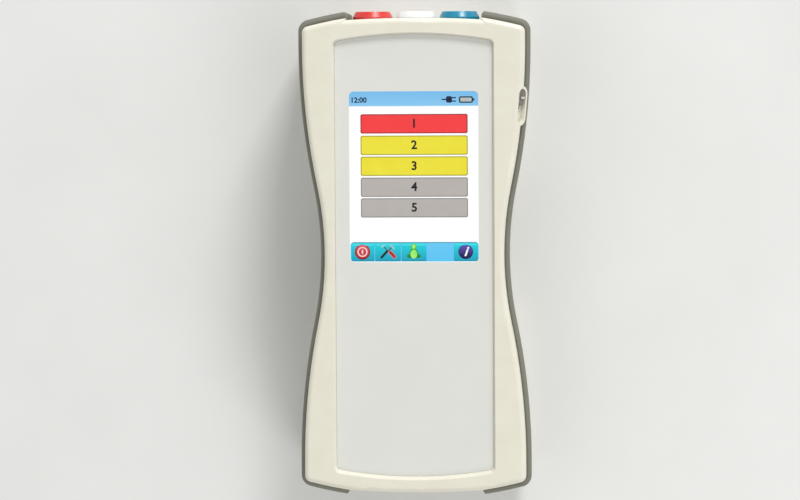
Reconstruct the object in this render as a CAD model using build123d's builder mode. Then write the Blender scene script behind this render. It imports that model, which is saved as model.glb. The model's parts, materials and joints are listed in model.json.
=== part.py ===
from build123d import *
from math import asin, cos, radians, sin, sqrt
import os

os.makedirs("parts", exist_ok=True)

# Handheld otoacoustic emission analyzer, lying on its back, in millimetres.
# X runs to the right of the screen, Y towards the sockets, Z out of the screen.

# Overall size
overall_length = 205.0
overall_width = 98.0
overall_thickness = 52.0
foot_height = 1.0

# Waisted outline in plan
waist_radius = 140.0
end_radius = 183.0
shoulder_run = 2.32
corner_radius = 5.0
inner_corner_share = 0.25

# Grips and the groove that they sit in
grip_stand = 2.2
grip_end_stand = 2.9
grip_groove = 1.0
grip_low_z = 10.0
grip_top_inset = 8.0
grip_edge_radius = 1.8
grip_low_radius = 0.6
grip_brow = 5.0
grip_lean = 2.6
grip_corner = 2.0
grip_fit = 0.05

# Housing shells
wall = 2.0
back_wall = 2.2
front_depth = 22.0
front_edge_radius = 2.2
back_edge_radius = 5.0
end_wall_inset = 5.5
seal_width = 0.8
seal_depth = 0.6
overrun = 5.0

# Hollow for the hand across the back
hand_relief_gap = 4.8
hand_relief_depth = 5.0
hand_relief_blend = 12.0

# Recessed panel on the front
panel_border = 6.0
panel_top_inset = 8.9
panel_bottom_inset = 7.3
panel_corner_radius = 2.4
panel_depth = 2.0
panel_top_ramp = 0.7
panel_side_ramp = 0.8
panel_bottom_ramp = 1.4
overlay_thickness = 0.6
overlay_fit = 0.08
panel_plate = 2.4

# Screen
display_width = 62.0
display_height = 80.0
display_room = 3.8
display_inset = 69.6
display_frame_depth = 4.2
display_frame_sheet = 0.4
display_cell_thickness = 1.5
display_light_thickness = 2.1
display_fit = 0.1
window_border = 3.8
window_end_border = 4.05
window_corner_radius = 2.0
touch_lap = 1.0
touch_end_lap = 0.5
touch_thickness = 1.4
touch_fit = 0.15
touch_ledge = 3.4
gasket_thickness = 0.4
gasket_border = 2.4
carrier_wall = 3.0
carrier_depth = 7.3
ribbon_half_width = 15.5
ribbon_thickness = 0.2

# Socket end
notch_depth = 2.9
notch_radius = 480.0
socket_gap = 1.5
socket_margin = 1.5
plate_side_gap = 1.2
plate_half_height = 13.5
plate_flange = 1.5
plate_flange_thickness = 1.4
plate_fit = 0.05
bore_radius = 4.75
bore_depth = 9.5
shell_wall = 1.2
shell_setback = 0.4
socket_fit = 0.05
collar_rim = 1.3
collar_flare = 1.2
collar_seat = 0.6
collar_lip = 0.5
insert_thickness = 4.6
nut_margin = 2.45
nut_thickness = 2.2
hex_sides = 6
contact_radius = 0.4
contact_circle_radius = 2.9
contact_count = 8
socket_board_gap = 0.4
socket_board_half_width = 29.0
socket_board_height = 16.0
header_half_width = 15.0
header_height = 3.0
header_overlap = 4.0

# Screws that join the two housings, and their bosses
screw_shank_radius = 1.5
screw_head_radius = 2.75
screw_head_height = 2.0
screw_head_fit = 0.1
screw_seat_z = 10.0
screw_bite = 8.0
screw_fit = 0.02
screw_hole_radius = 1.7
boss_radius = 4.2
upper_boss_radius = 3.4
screw_side_inset = 12.5
head_boss_gap = 1.1
waist_screw_inset = 9.0
waist_boss_gap = 5.5
heel_screw_inset = 14.0

# Rubber feet
foot_radius = 4.5
foot_seat = 0.6
foot_gap = 3.0
foot_end_inset = 16.5

# Battery bay and its sliding door
cell_radius = 7.15
cell_length = 48.5
cell_tip_radius = 2.7
cell_tip_length = 1.2
cell_gap = 0.2
cell_count = 4
wrap_thickness = 0.2
bay_side_play = 0.75
bay_end_inset = 6.9
bay_wall = 1.5
bay_headroom = 1.0
bay_play = 0.3
door_lap = 1.1
door_thickness = 2.2
door_clearance = 0.15
door_tongue_width = 1.2
door_tongue_height = 1.0
door_rail_width = 4.2
door_rail_z = 5.2
door_front_gap = 1.2
door_rib_count = 4
door_rib_pitch = 3.2
door_rib_height = 0.5
door_rib_width = 1.2
door_rib_length = 22.0
terminal_radius = 1.2
terminal_x = 10.0

# Main board, on posts under the front housing
board_thickness = 1.6
board_margin = 2.0
board_end_inset = 20.5
board_notch = 0.9
post_radius = 2.6
post_x = 18.0
post_head_inset = 4.0
post_heel_inset = 5.0
post_middle_share = 0.2
board_screw_shank_radius = 1.0
board_screw_head_radius = 1.9
board_screw_head_height = 1.5
board_screw_length = 6.0

# Parts on the main board
processor_side = 20.0
processor_height = 1.6
processor_chamfer = 0.2
memory_gap = 3.0
memory_length = 12.0
memory_width = 8.0
memory_height = 1.2
converter_side = 9.0
converter_height = 1.4
shield_width = 30.0
shield_length = 22.0
shield_height = 3.6
shield_sheet = 0.3
shield_inset = 24.0
supply_share = 0.53
supply_x = 11.0
capacitor_radius = 3.15
capacitor_height = 5.6
capacitor_gap = 3.15
coin_radius = 10.0
coin_height = 3.2
holder_height = 0.8
holder_margin = 1.4
holder_wall = 1.3
holder_side_height = 2.6

# Heel end and its ports
heel_depth = 1.9
port_board_inset = 7.5
port_board_length = 11.0
port_board_half_width = 24.0
port_plate_fit = 0.1
flex_half_width = 5.0
flex_foot = 4.0
jack_x = -12.0
jack_width = 9.0
jack_length = 14.0
jack_height = 11.0
jack_bore_radius = 2.9
jack_bore_depth = 9.5
jack_pin_radius = 1.0
usb_x = 10.0
usb_width = 7.8
usb_height = 4.0
usb_length = 9.2
usb_sheet = 0.35
usb_tongue_width = 4.6
usb_tongue_height = 1.1

# Speaker and blank rating plate on the back
speaker_radius = 10.0
speaker_height = 4.2
speaker_inset = 38.5
speaker_gasket_thickness = 0.6
speaker_gasket_width = 2.0
speaker_magnet_share = 0.6
grille_hole_radius = 0.9
grille_circle_radius = 4.6
grille_count = 6
label_gap = 3.0
label_width = 44.0
label_length = 14.0
label_thickness = 0.25

# Power slider on the right shoulder
switch_inset = 25.6
switch_tilt = 33.0
switch_sink = 0.44
switch_drop = 3.5
bezel_length = 17.0
bezel_width = 7.6
bezel_wall = 1.3
bezel_depth = 2.2
bezel_proud = 0.2
bezel_floor = 0.5
bezel_edge_radius = 0.4
bezel_fit = 0.05
knob_length = 7.0
knob_side_gap = 0.2
knob_flank_gap = 0.7
knob_travel = 4.0
knob_top_drop = 0.1
knob_rib_width = 1.0
knob_rib_height = 0.5
stem_size = 1.4
stem_depth = 2.0
switch_length = 13.0
switch_width = 5.6
switch_depth = 3.6

# Outline, worked out from the sizes above
half_width = overall_width / 2
half_length = overall_length / 2
back_z = foot_height
front_z = overall_thickness
groove_side = grip_stand + grip_groove
cavity_side = groove_side + wall
waist_width = display_width + 2 * (cavity_side + display_room)
end_wall_y = half_length - end_wall_inset
end_bow = end_radius - sqrt(end_radius**2 - half_width**2)
widest_y = end_wall_y - end_bow - shoulder_run
shrink = half_width - waist_width / 2
flank_radius = (widest_y**2 + shrink**2) / (2 * shrink) - waist_radius
flank_angle = asin(widest_y / (waist_radius + flank_radius))

# Sockets and the gap between the grips
shell_radius = bore_radius + shell_wall
nut_radius = shell_radius + nut_margin
collar_top_radius = shell_radius + socket_fit + collar_rim
collar_base_radius = collar_top_radius + collar_flare
socket_pitch = 2 * collar_base_radius + socket_gap
gap_half = socket_pitch + collar_base_radius + socket_margin
plate_half_width = gap_half - plate_side_gap
end_apex = half_length + end_radius - sqrt(end_radius**2 - gap_half**2)
cavity_end = end_apex - end_wall_y
notch_y = half_length - notch_depth
plate_back_y = end_wall_y - plate_flange_thickness
grip_high_z = front_z - grip_top_inset
grip_brow_z = grip_high_z - grip_brow
grip_end_y = end_apex - end_radius + sqrt(end_radius**2 - gap_half**2)
socket_z = (grip_low_z + grip_high_z) / 2

# Heel end: flatter between the grips, from where it meets the housing's own arc
heel_y = half_length - heel_depth
heel_corner_radius = end_radius - grip_end_stand
heel_edge_y = end_apex - end_radius + sqrt(heel_corner_radius**2 - gap_half**2)
heel_rise = heel_y - heel_edge_y
heel_radius = (gap_half**2 + heel_rise**2) / (2 * heel_rise)
heel_groove_y = heel_y - grip_groove
seal_end = cavity_end - (heel_groove_y - end_wall_y + seal_width) / 2

# Panel, screen and board, stacked down from the front
parting_z = front_z - front_depth
panel_half = waist_width / 2 - panel_border
panel_top_y = half_length - panel_top_inset
panel_bottom_y = panel_bottom_inset - half_length
panel_floor_z = front_z - panel_depth - overlay_thickness
panel_inside_z = panel_floor_z - panel_plate
window_y = half_length - display_inset
window_width = display_width - 2 * window_border
window_height = display_height - 2 * window_end_border
touch_width = display_width + 2 * touch_lap
touch_height = display_height + 2 * touch_end_lap
touch_low_z = panel_floor_z - touch_thickness
frame_top_z = panel_inside_z - gasket_thickness
frame_low_z = frame_top_z - display_frame_depth
board_top_z = frame_low_z - carrier_depth
board_z = board_top_z - board_thickness
board_half_width = display_width / 2 + board_margin
board_high_y = half_length - board_end_inset
board_low_y = -board_high_y
display_high_y = window_y + display_height / 2
display_low_y = window_y - display_height / 2
supply_y = display_low_y + supply_share * (board_low_y - display_low_y)
shield_y = board_high_y - shield_inset

# Places of the screws and posts
screw_tip_z = parting_z + screw_bite
head_screw = (half_width - screw_side_inset, display_high_y + upper_boss_radius + head_boss_gap)
waist_screw = (waist_width / 2 - waist_screw_inset, display_low_y - upper_boss_radius - waist_boss_gap)
heel_screw = (half_width - screw_side_inset, heel_screw_inset - widest_y)
screw_points = [
    (side * x, y)
    for x, y in (head_screw, waist_screw, heel_screw)
    for side in (-1, 1)
]
post_rows = (
    board_high_y - post_head_inset,
    display_low_y + post_middle_share * (board_low_y - display_low_y),
    board_low_y + post_heel_inset,
)
post_points = [(side * post_x, y) for y in post_rows for side in (-1, 1)]

# Battery bay, its cells and its door, with the feet to either side
cell_pitch = 2 * cell_radius + cell_gap
bay_half_width = cell_length / 2 + cell_tip_length + bay_side_play
bay_low_y = bay_end_inset - half_length
bay_high_y = bay_low_y + cell_count * cell_pitch + 2 * bay_play
bay_floor_z = back_z + door_thickness + 2 * door_clearance
first_cell_y = bay_low_y + bay_play + cell_pitch / 2
cell_z = bay_floor_z + bay_play + wrap_thickness + cell_radius
bay_roof_z = cell_z + cell_radius + wrap_thickness + bay_headroom
bay_top_z = bay_roof_z + bay_wall
door_half_width = bay_half_width + door_lap
door_high_y = bay_high_y + door_front_gap
tongue_half = door_half_width + door_tongue_width
terminal_points = [(-terminal_x, first_cell_y), (terminal_x, first_cell_y)]
hand_reach = -door_high_y - hand_relief_gap
foot_x = tongue_half + foot_radius + foot_gap
foot_y = half_length - foot_end_inset

# Ports, speaker and rating plate
port_board_z = bay_top_z
port_board_low_y = port_board_inset - half_length
port_board_high_y = port_board_low_y + port_board_length
port_z = port_board_z + board_thickness
jack_z = port_z + jack_height / 2
port_reach = abs(jack_x) + jack_width / 2
port_bow = heel_radius - sqrt(heel_radius**2 - port_reach**2)
port_face_y = port_plate_fit + port_bow - heel_groove_y
speaker_y = half_length - speaker_inset
label_y = speaker_y - speaker_radius - label_gap - label_length / 2
switch_y = widest_y - switch_inset


def plan_outline(side, end):
    """Waisted outline of the instrument, drawn in from the grips' outline."""
    half = half_width - side
    waist = waist_width / 2 - side
    near = waist_radius + side
    far = flank_radius - side
    apex = end_apex - end
    end_r = end_radius - end
    join_x = waist + near * (1 - cos(flank_angle))
    join_y = near * sin(flank_angle)
    mid_x = half - far * (1 - cos(flank_angle / 2))
    mid_y = widest_y - far * sin(flank_angle / 2)
    corner_y = apex - end_r + sqrt(end_r**2 - half**2)
    with BuildSketch() as outline:
        with BuildLine():
            for s in (-1, 1):
                ThreePointArc((s * join_x, -join_y), (s * waist, 0), (s * join_x, join_y))
                for t in (-1, 1):
                    ThreePointArc(
                        (s * join_x, t * join_y),
                        (s * mid_x, t * mid_y),
                        (s * half, t * widest_y),
                    )
                    Line((s * half, t * widest_y), (s * half, t * corner_y))
            for t in (-1, 1):
                ThreePointArc((-half, t * corner_y), (0, t * apex), (half, t * corner_y))
        make_face()
        corners = outline.vertices().group_by(Axis.Y)
        fillet(corners[0] + corners[-1], max(corner_radius - side, corner_radius * inner_corner_share))
    return outline.sketch


def panel_outline(half, top, bottom, radius):
    """Outline of the recessed panel: straight sides and ends bowed like the case."""
    bow = end_radius - sqrt(end_radius**2 - half**2)
    with BuildSketch() as outline:
        with BuildLine():
            ThreePointArc((-half, top - bow), (0, top), (half, top - bow))
            Line((half, top - bow), (half, bottom + bow))
            ThreePointArc((half, bottom + bow), (0, bottom), (-half, bottom + bow))
            Line((-half, bottom + bow), (-half, top - bow))
        make_face()
        fillet(outline.vertices(), radius)
    return outline.sketch


def half_width_at(y, side):
    """Half the width of the outline on the flank at a given place along it."""
    far = flank_radius - side
    return half_width - side - far + sqrt(far**2 - (widest_y - y) ** 2)


def block(x, y, z, mode=Mode.ADD):
    """Box between low and high values along each axis."""
    (x_low, x_high), (y_low, y_high), (z_low, z_high) = x, y, z
    with Locations((x_low, y_low, z_low)):
        Box(x_high - x_low, y_high - y_low, z_high - z_low, align=(Align.MIN,) * 3, mode=mode)


def post(points, radius, low, high, mode=Mode.ADD):
    """Round posts or holes standing along Z at plan points."""
    with Locations([(x, y, low) for x, y in points]):
        Cylinder(
            radius, high - low, align=(Align.CENTER, Align.CENTER, Align.MIN), mode=mode
        )


def barrel(x, z, radius, low_y, high_y, mode=Mode.ADD):
    """Round bar or hole lying along Y."""
    with Locations(Location((x, low_y, z), (-90, 0, 0))):
        Cylinder(
            radius, high_y - low_y, align=(Align.CENTER, Align.CENTER, Align.MIN), mode=mode
        )


def port_openings(mode):
    """Openings in the heel's end wall that the two ports stand in."""
    block(
        (jack_x - jack_width / 2 - port_plate_fit, jack_x + jack_width / 2 + port_plate_fit),
        (-end_apex, -end_wall_y + overrun),
        (port_z - port_plate_fit, port_z + jack_height + port_plate_fit),
        mode,
    )
    block(
        (usb_x - usb_width / 2 - port_plate_fit, usb_x + usb_width / 2 + port_plate_fit),
        (-end_apex, -end_wall_y + overrun),
        (port_z - port_plate_fit, port_z + usb_height + port_plate_fit),
        mode,
    )


def end_space(apex, radius, side, low, high):
    """Space outside a flat arc that spans the gap between the grips at one end."""
    bow = radius - sqrt(radius**2 - gap_half**2)
    with BuildPart() as space:
        with BuildSketch(Plane.XY.offset(low)):
            with BuildLine():
                ThreePointArc(
                    (-gap_half, side * (apex - bow)),
                    (0, side * apex),
                    (gap_half, side * (apex - bow)),
                )
                Polyline(
                    (gap_half, side * (apex - bow)),
                    (gap_half, side * end_apex),
                    (-gap_half, side * end_apex),
                    (-gap_half, side * (apex - bow)),
                )
            make_face()
        extrude(amount=high - low)
    return space.part


def save(piece, name):
    """Labels a finished piece and writes it under the same name."""
    piece.part.label = name
    export_step(piece.part, f"parts/{name}.step")


# Outlines that several pieces share
grip_outline = plan_outline(0, 0)
housing_outline = plan_outline(grip_stand, grip_end_stand)
groove_outline = plan_outline(groove_side, grip_end_stand + grip_groove)
grip_inner_outline = plan_outline(groove_side - grip_fit, grip_end_stand + grip_groove - grip_fit)
cavity_outline = plan_outline(cavity_side, cavity_end)
seal_inset = groove_side + (wall - seal_width) / 2
seal_outer_outline = plan_outline(seal_inset, seal_end)
seal_inner_outline = plan_outline(seal_inset + seal_width, seal_end + seal_width)
floor_half = panel_half - panel_side_ramp
floor_top_y = panel_top_y - panel_top_ramp
floor_bottom_y = panel_bottom_y + panel_bottom_ramp
rim_outline = panel_outline(panel_half, panel_top_y, panel_bottom_y, panel_corner_radius)
floor_outline = panel_outline(floor_half, floor_top_y, floor_bottom_y, panel_corner_radius)
overlay_outline = panel_outline(
    floor_half - overlay_fit,
    floor_top_y - overlay_fit,
    floor_bottom_y + overlay_fit,
    panel_corner_radius,
)
plate_outline = panel_outline(
    panel_half + wall, panel_top_y + wall / 2, panel_bottom_y - wall / 2, panel_corner_radius
)

# Place of the power slider: its plane leans out over the right shoulder
switch_turn = asin((widest_y - switch_y) / (flank_radius - grip_stand))
switch_lean = radians(switch_tilt)
switch_plane = Plane(
    origin=(
        half_width_at(switch_y, grip_stand) - switch_sink,
        switch_y,
        front_z - switch_drop,
    ),
    x_dir=(sin(switch_turn), cos(switch_turn), 0),
    z_dir=(
        cos(switch_turn) * cos(switch_lean),
        -sin(switch_turn) * cos(switch_lean),
        sin(switch_lean),
    ),
)
well_length = bezel_length - 2 * bezel_wall
well_width = bezel_width - 2 * bezel_wall
knob_width = well_width - 2 * knob_flank_gap
knob_u = (well_length - knob_length) / 2 - knob_side_gap
stem_slot_length = knob_travel + stem_size + 2 * knob_side_gap
stem_slot_width = stem_size + 2 * knob_side_gap
stem_slot_u = knob_u - knob_travel / 2

# Cuts that flatten the ends between the grips, and the seat of the plate at the heel
notch = end_space(notch_y, notch_radius, 1, 0, front_z + overrun)
heel_cut = end_space(heel_y, heel_radius, -1, 0, front_z + overrun)
heel_groove = end_space(
    heel_groove_y, heel_radius - grip_groove, -1, grip_low_z, grip_high_z
)

# Hollow for the hand, as the space that is cut away under the waist
with BuildPart() as hand_space:
    with BuildSketch(Plane.YZ) as hand_profile:
        with BuildLine():
            ThreePointArc(
                (-hand_reach, back_z),
                (0, back_z + hand_relief_depth),
                (hand_reach, back_z),
            )
            Polyline(
                (hand_reach, back_z),
                (half_length, back_z),
                (half_length, -overrun),
                (-half_length, -overrun),
                (-half_length, back_z),
                (-hand_reach, back_z),
            )
        make_face()
        ends = hand_profile.vertices().filter_by_position(
            Axis.X, -hand_reach - grip_fit, hand_reach + grip_fit
        )
        fillet(
            ends.filter_by_position(Axis.Y, back_z - grip_fit, back_z + grip_fit),
            hand_relief_blend,
        )
    extrude(amount=half_width, both=True)

# Outer form of the rear housing, which the battery door is part of
with BuildPart() as rear_form:
    with BuildSketch(Plane.XY.offset(back_z)):
        add(housing_outline)
    extrude(amount=grip_low_z - back_z)
    with BuildSketch(Plane.XY.offset(grip_low_z)):
        add(groove_outline)
    extrude(amount=parting_z - grip_low_z)
    add(hand_space.part, mode=Mode.SUBTRACT)
    low_edges = rear_form.edges().filter_by_position(
        Axis.Z, back_z - overrun, back_z + hand_relief_depth + grip_fit
    )
    fillet(low_edges.filter_by(Axis.X, reverse=True), back_edge_radius)

# Front housing
with BuildPart() as front_housing:
    with BuildSketch(Plane.XY.offset(parting_z)):
        add(groove_outline)
    extrude(amount=grip_high_z - parting_z)
    with BuildSketch(Plane.XY.offset(grip_high_z)):
        add(housing_outline)
    extrude(amount=front_z - grip_high_z)
    add(notch, mode=Mode.SUBTRACT)
    add(heel_cut, mode=Mode.SUBTRACT)
    fillet(front_housing.edges().group_by(Axis.Z)[-1], front_edge_radius)
    with BuildSketch(Plane.XY.offset(parting_z)):
        add(cavity_outline)
    extrude(amount=panel_floor_z - parting_z, mode=Mode.SUBTRACT)
    with BuildSketch(Plane.XY.offset(panel_inside_z)):
        add(plate_outline)
        add(cavity_outline, mode=Mode.INTERSECT)
    extrude(amount=panel_floor_z - panel_inside_z)
    post(screw_points, upper_boss_radius, parting_z, panel_floor_z)
    post(post_points, post_radius, board_top_z, panel_inside_z)
    with BuildSketch(Plane.XY.offset(front_z)):
        add(rim_outline)
    with BuildSketch(Plane.XY.offset(front_z - panel_depth)):
        add(floor_outline)
    loft(ruled=True, mode=Mode.SUBTRACT)
    with BuildSketch(Plane.XY.offset(panel_floor_z)):
        add(floor_outline)
    extrude(amount=overlay_thickness, mode=Mode.SUBTRACT)
    with BuildSketch(Plane.XY.offset(touch_low_z)):
        with Locations((0, window_y)):
            Rectangle(touch_width + 2 * touch_fit, touch_height + 2 * touch_fit)
    extrude(amount=touch_thickness, mode=Mode.SUBTRACT)
    with BuildSketch(Plane.XY.offset(panel_inside_z)):
        with Locations((0, window_y)):
            Rectangle(touch_width - 2 * touch_ledge, touch_height - 2 * touch_ledge)
    extrude(amount=panel_plate, mode=Mode.SUBTRACT)
    post(
        screw_points,
        screw_shank_radius + screw_fit,
        parting_z,
        screw_tip_z + screw_fit,
        Mode.SUBTRACT,
    )
    post(
        post_points,
        board_screw_shank_radius + screw_fit,
        board_top_z,
        board_z + board_screw_length + screw_fit,
        Mode.SUBTRACT,
    )
    block(
        (-plate_half_width, plate_half_width),
        (plate_back_y, end_apex),
        (parting_z, socket_z + plate_half_height),
        Mode.SUBTRACT,
    )
    block(
        (-plate_half_width - plate_flange, plate_half_width + plate_flange),
        (end_wall_y - overrun, end_wall_y),
        (parting_z, socket_z + plate_half_height + plate_flange),
        Mode.SUBTRACT,
    )
    with BuildSketch(switch_plane.offset(bezel_proud)):
        SlotOverall(bezel_length + 2 * bezel_fit, bezel_width + 2 * bezel_fit)
    extrude(amount=-bezel_depth - bezel_proud, mode=Mode.SUBTRACT)
    with BuildSketch(switch_plane.offset(bezel_proud)):
        SlotOverall(bezel_length + 2 * bezel_fit, bezel_width + 2 * bezel_fit)
    extrude(amount=overrun, mode=Mode.SUBTRACT)
    with BuildSketch(switch_plane.offset(-bezel_depth)):
        Rectangle(switch_length + 2 * bezel_fit, switch_width + 2 * bezel_fit)
    extrude(amount=-switch_depth - overrun, mode=Mode.SUBTRACT)
    add(heel_groove, mode=Mode.SUBTRACT)
    port_openings(Mode.SUBTRACT)
save(front_housing, "front_housing")

# Graphic overlay that fills the recessed panel round the screen
with BuildPart() as front_overlay:
    with BuildSketch(Plane.XY.offset(panel_floor_z)):
        add(overlay_outline)
        with Locations((0, window_y)):
            RectangleRounded(
                window_width, window_height, window_corner_radius, mode=Mode.SUBTRACT
            )
    extrude(amount=overlay_thickness)
save(front_overlay, "front_overlay")

# Touch panel, seated in the front housing under the overlay
with BuildPart() as touch_panel:
    with BuildSketch(Plane.XY.offset(touch_low_z)):
        with Locations((0, window_y)):
            Rectangle(touch_width, touch_height)
    extrude(amount=touch_thickness)
save(touch_panel, "touch_panel")

# Foam gasket between the front housing and the display
with BuildPart() as display_gasket:
    with BuildSketch(Plane.XY.offset(frame_top_z)):
        with Locations((0, window_y)):
            Rectangle(display_width, display_height)
            Rectangle(
                display_width - 2 * gasket_border,
                display_height - 2 * gasket_border,
                mode=Mode.SUBTRACT,
            )
    extrude(amount=gasket_thickness)
save(display_gasket, "display_gasket")

# Sheet steel tray that holds the display cell over its backlight
with BuildPart() as display_frame:
    with BuildSketch(Plane.XY.offset(frame_low_z)):
        with Locations((0, window_y)):
            Rectangle(display_width, display_height)
    extrude(amount=display_frame_depth)
    with BuildSketch(Plane.XY.offset(frame_low_z + display_frame_sheet)):
        with Locations((0, window_y)):
            Rectangle(
                display_width - 2 * display_frame_sheet,
                display_height - 2 * display_frame_sheet,
            )
    extrude(amount=display_frame_depth, mode=Mode.SUBTRACT)
save(display_frame, "display_frame")

inner_display_width = display_width - 2 * display_frame_sheet - 2 * display_fit
inner_display_height = display_height - 2 * display_frame_sheet - 2 * display_fit
light_low_z = frame_low_z + display_frame_sheet
cell_low_z = light_low_z + display_light_thickness
with BuildPart() as display_backlight:
    with BuildSketch(Plane.XY.offset(light_low_z)):
        with Locations((0, window_y)):
            Rectangle(inner_display_width, inner_display_height)
    extrude(amount=display_light_thickness)
save(display_backlight, "display_backlight")

with BuildPart() as display_panel:
    with BuildSketch(Plane.XY.offset(cell_low_z)):
        with Locations((0, window_y)):
            Rectangle(inner_display_width, inner_display_height)
    extrude(amount=display_cell_thickness)
save(display_panel, "display_panel")

# Moulded carrier between the main board and the display tray
with BuildPart() as display_carrier:
    with BuildSketch(Plane.XY.offset(board_top_z)):
        with Locations((0, window_y)):
            Rectangle(display_width, display_height)
            Rectangle(
                display_width - 2 * carrier_wall,
                display_height - 2 * carrier_wall,
                mode=Mode.SUBTRACT,
            )
    extrude(amount=frame_low_z - board_top_z)
save(display_carrier, "display_carrier")

# Ribbon from the display to the main board
ribbon_foot_y = display_low_y - carrier_wall
with BuildPart() as display_flex:
    block(
        (-ribbon_half_width, ribbon_half_width),
        (display_low_y - ribbon_thickness, display_low_y),
        (board_top_z, cell_low_z),
    )
    block(
        (-ribbon_half_width, ribbon_half_width),
        (ribbon_foot_y, display_low_y),
        (board_top_z, board_top_z + ribbon_thickness),
    )
save(display_flex, "display_flex")


def make_grip(name, side):
    """One soft grip: a strip round a side, ending at the gap in each end."""
    with BuildPart() as grip:
        with BuildSketch(Plane.XY.offset(grip_brow_z)):
            add(grip_outline)
        extrude(amount=grip_high_z - grip_brow_z)
        with BuildSketch(Plane.XY.offset(grip_brow_z)):
            add(grip_outline)
        extrude(amount=grip_brow_z - grip_low_z, dir=(0, 0, -1), taper=grip_lean)
        fillet(grip.edges().group_by(Axis.Z)[-1], grip_edge_radius)
        fillet(grip.edges().group_by(Axis.Z)[0], grip_low_radius)
        with BuildSketch(Plane.XY.offset(grip_low_z)):
            add(grip_inner_outline)
        extrude(amount=grip_high_z - grip_low_z, mode=Mode.SUBTRACT)
        near, far = sorted((side * gap_half, -side * half_width))
        block((near, far), (half_width, end_apex), (0, front_z), Mode.SUBTRACT)
        block((near, far), (-end_apex, -half_width), (0, front_z), Mode.SUBTRACT)
        near, far = sorted((0, -side * half_width))
        block((near, far), (-end_apex, end_apex), (0, front_z), Mode.SUBTRACT)
        for end in (-1, 1):
            with BuildSketch():
                with Locations((side * gap_half, end * grip_end_y)):
                    Rectangle(2 * grip_corner, 2 * grip_corner)
                with Locations(
                    (side * (gap_half + grip_corner), end * (grip_end_y - grip_corner))
                ):
                    Circle(grip_corner, mode=Mode.SUBTRACT)
            extrude(amount=front_z, mode=Mode.SUBTRACT)
    save(grip, name)


make_grip("left_grip", -1)
make_grip("right_grip", 1)

# Rear housing with its bay, bosses, door slot and screw wells
with BuildPart() as cavity_space:
    with BuildSketch(Plane.XY.offset(back_z + back_wall)):
        add(cavity_outline)
    extrude(amount=parting_z - back_z - back_wall)
    add(hand_space.part.moved(Location((0, 0, back_wall))), mode=Mode.SUBTRACT)

bay_outer_half = bay_half_width + bay_wall
with BuildPart() as rear_housing:
    add(rear_form.part)
    add(heel_cut, mode=Mode.SUBTRACT)
    add(cavity_space.part, mode=Mode.SUBTRACT)
    block(
        (-bay_outer_half, bay_outer_half),
        (bay_low_y - bay_wall, bay_high_y + bay_wall),
        (back_z + back_wall, bay_top_z),
    )
    for side in (-1, 1):
        near, far = sorted((side * bay_half_width, side * (bay_half_width + door_rail_width)))
        block((near, far), (bay_low_y, bay_high_y), (back_z + back_wall, door_rail_z))
    post(screw_points[2:4], boss_radius, back_z + hand_relief_depth, parting_z)
    post(screw_points[:2] + screw_points[4:], boss_radius, back_z + back_wall / 2, parting_z)
    add(notch, mode=Mode.SUBTRACT)
    block(
        (-bay_half_width, bay_half_width),
        (bay_low_y, bay_high_y),
        (0, bay_roof_z),
        Mode.SUBTRACT,
    )
    block(
        (-door_half_width - door_clearance, door_half_width + door_clearance),
        (-end_apex, door_high_y + door_clearance),
        (0, bay_floor_z - door_clearance),
        Mode.SUBTRACT,
    )
    tongue_low_z = back_z + door_thickness - door_tongue_height
    block(
        (-tongue_half - door_clearance, tongue_half + door_clearance),
        (-end_apex, door_high_y + door_clearance),
        (tongue_low_z - door_clearance, bay_floor_z - door_clearance),
        Mode.SUBTRACT,
    )
    post(screw_points, screw_hole_radius, 0, parting_z, Mode.SUBTRACT)
    post(screw_points, screw_head_radius + screw_head_fit, 0, screw_seat_z, Mode.SUBTRACT)
    feet_points = [(sx * foot_x, sy * foot_y) for sx in (-1, 1) for sy in (-1, 1)]
    post(feet_points, foot_radius + grip_fit, 0, back_z + foot_seat, Mode.SUBTRACT)
    block(
        (-plate_half_width, plate_half_width),
        (plate_back_y, end_apex),
        (socket_z - plate_half_height, parting_z),
        Mode.SUBTRACT,
    )
    block(
        (-plate_half_width - plate_flange, plate_half_width + plate_flange),
        (end_wall_y - overrun, end_wall_y),
        (socket_z - plate_half_height - plate_flange, parting_z),
        Mode.SUBTRACT,
    )
    with BuildSketch(Plane.XY.offset(parting_z - seal_depth)):
        add(seal_outer_outline)
        add(seal_inner_outline, mode=Mode.SUBTRACT)
    extrude(amount=seal_depth, mode=Mode.SUBTRACT)
    block(
        (-label_width / 2, label_width / 2),
        (label_y - label_length / 2, label_y + label_length / 2),
        (0, back_z + label_thickness),
        Mode.SUBTRACT,
    )
    grille_points = [(0, speaker_y)] + [
        (
            grille_circle_radius * cos(radians(360 * i / grille_count)),
            speaker_y + grille_circle_radius * sin(radians(360 * i / grille_count)),
        )
        for i in range(grille_count)
    ]
    post(grille_points, grille_hole_radius, 0, back_z + back_wall + overrun, Mode.SUBTRACT)
    post(
        terminal_points,
        terminal_radius + socket_fit,
        bay_roof_z,
        bay_top_z,
        Mode.SUBTRACT,
    )
    add(heel_groove, mode=Mode.SUBTRACT)
    port_openings(Mode.SUBTRACT)
save(rear_housing, "rear_housing")

# Seal between the housings, broken where the connector plate stands
with BuildPart() as housing_seal:
    with BuildSketch(Plane.XY.offset(parting_z - seal_depth)):
        add(seal_outer_outline)
        add(seal_inner_outline, mode=Mode.SUBTRACT)
    extrude(amount=seal_depth)
    plate_reach = plate_half_width + plate_flange + plate_fit
    block((-plate_reach, plate_reach), (end_wall_y - overrun, end_apex), (0, front_z), Mode.SUBTRACT)
    port_openings(Mode.SUBTRACT)
save(housing_seal, "housing_seal")

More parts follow.
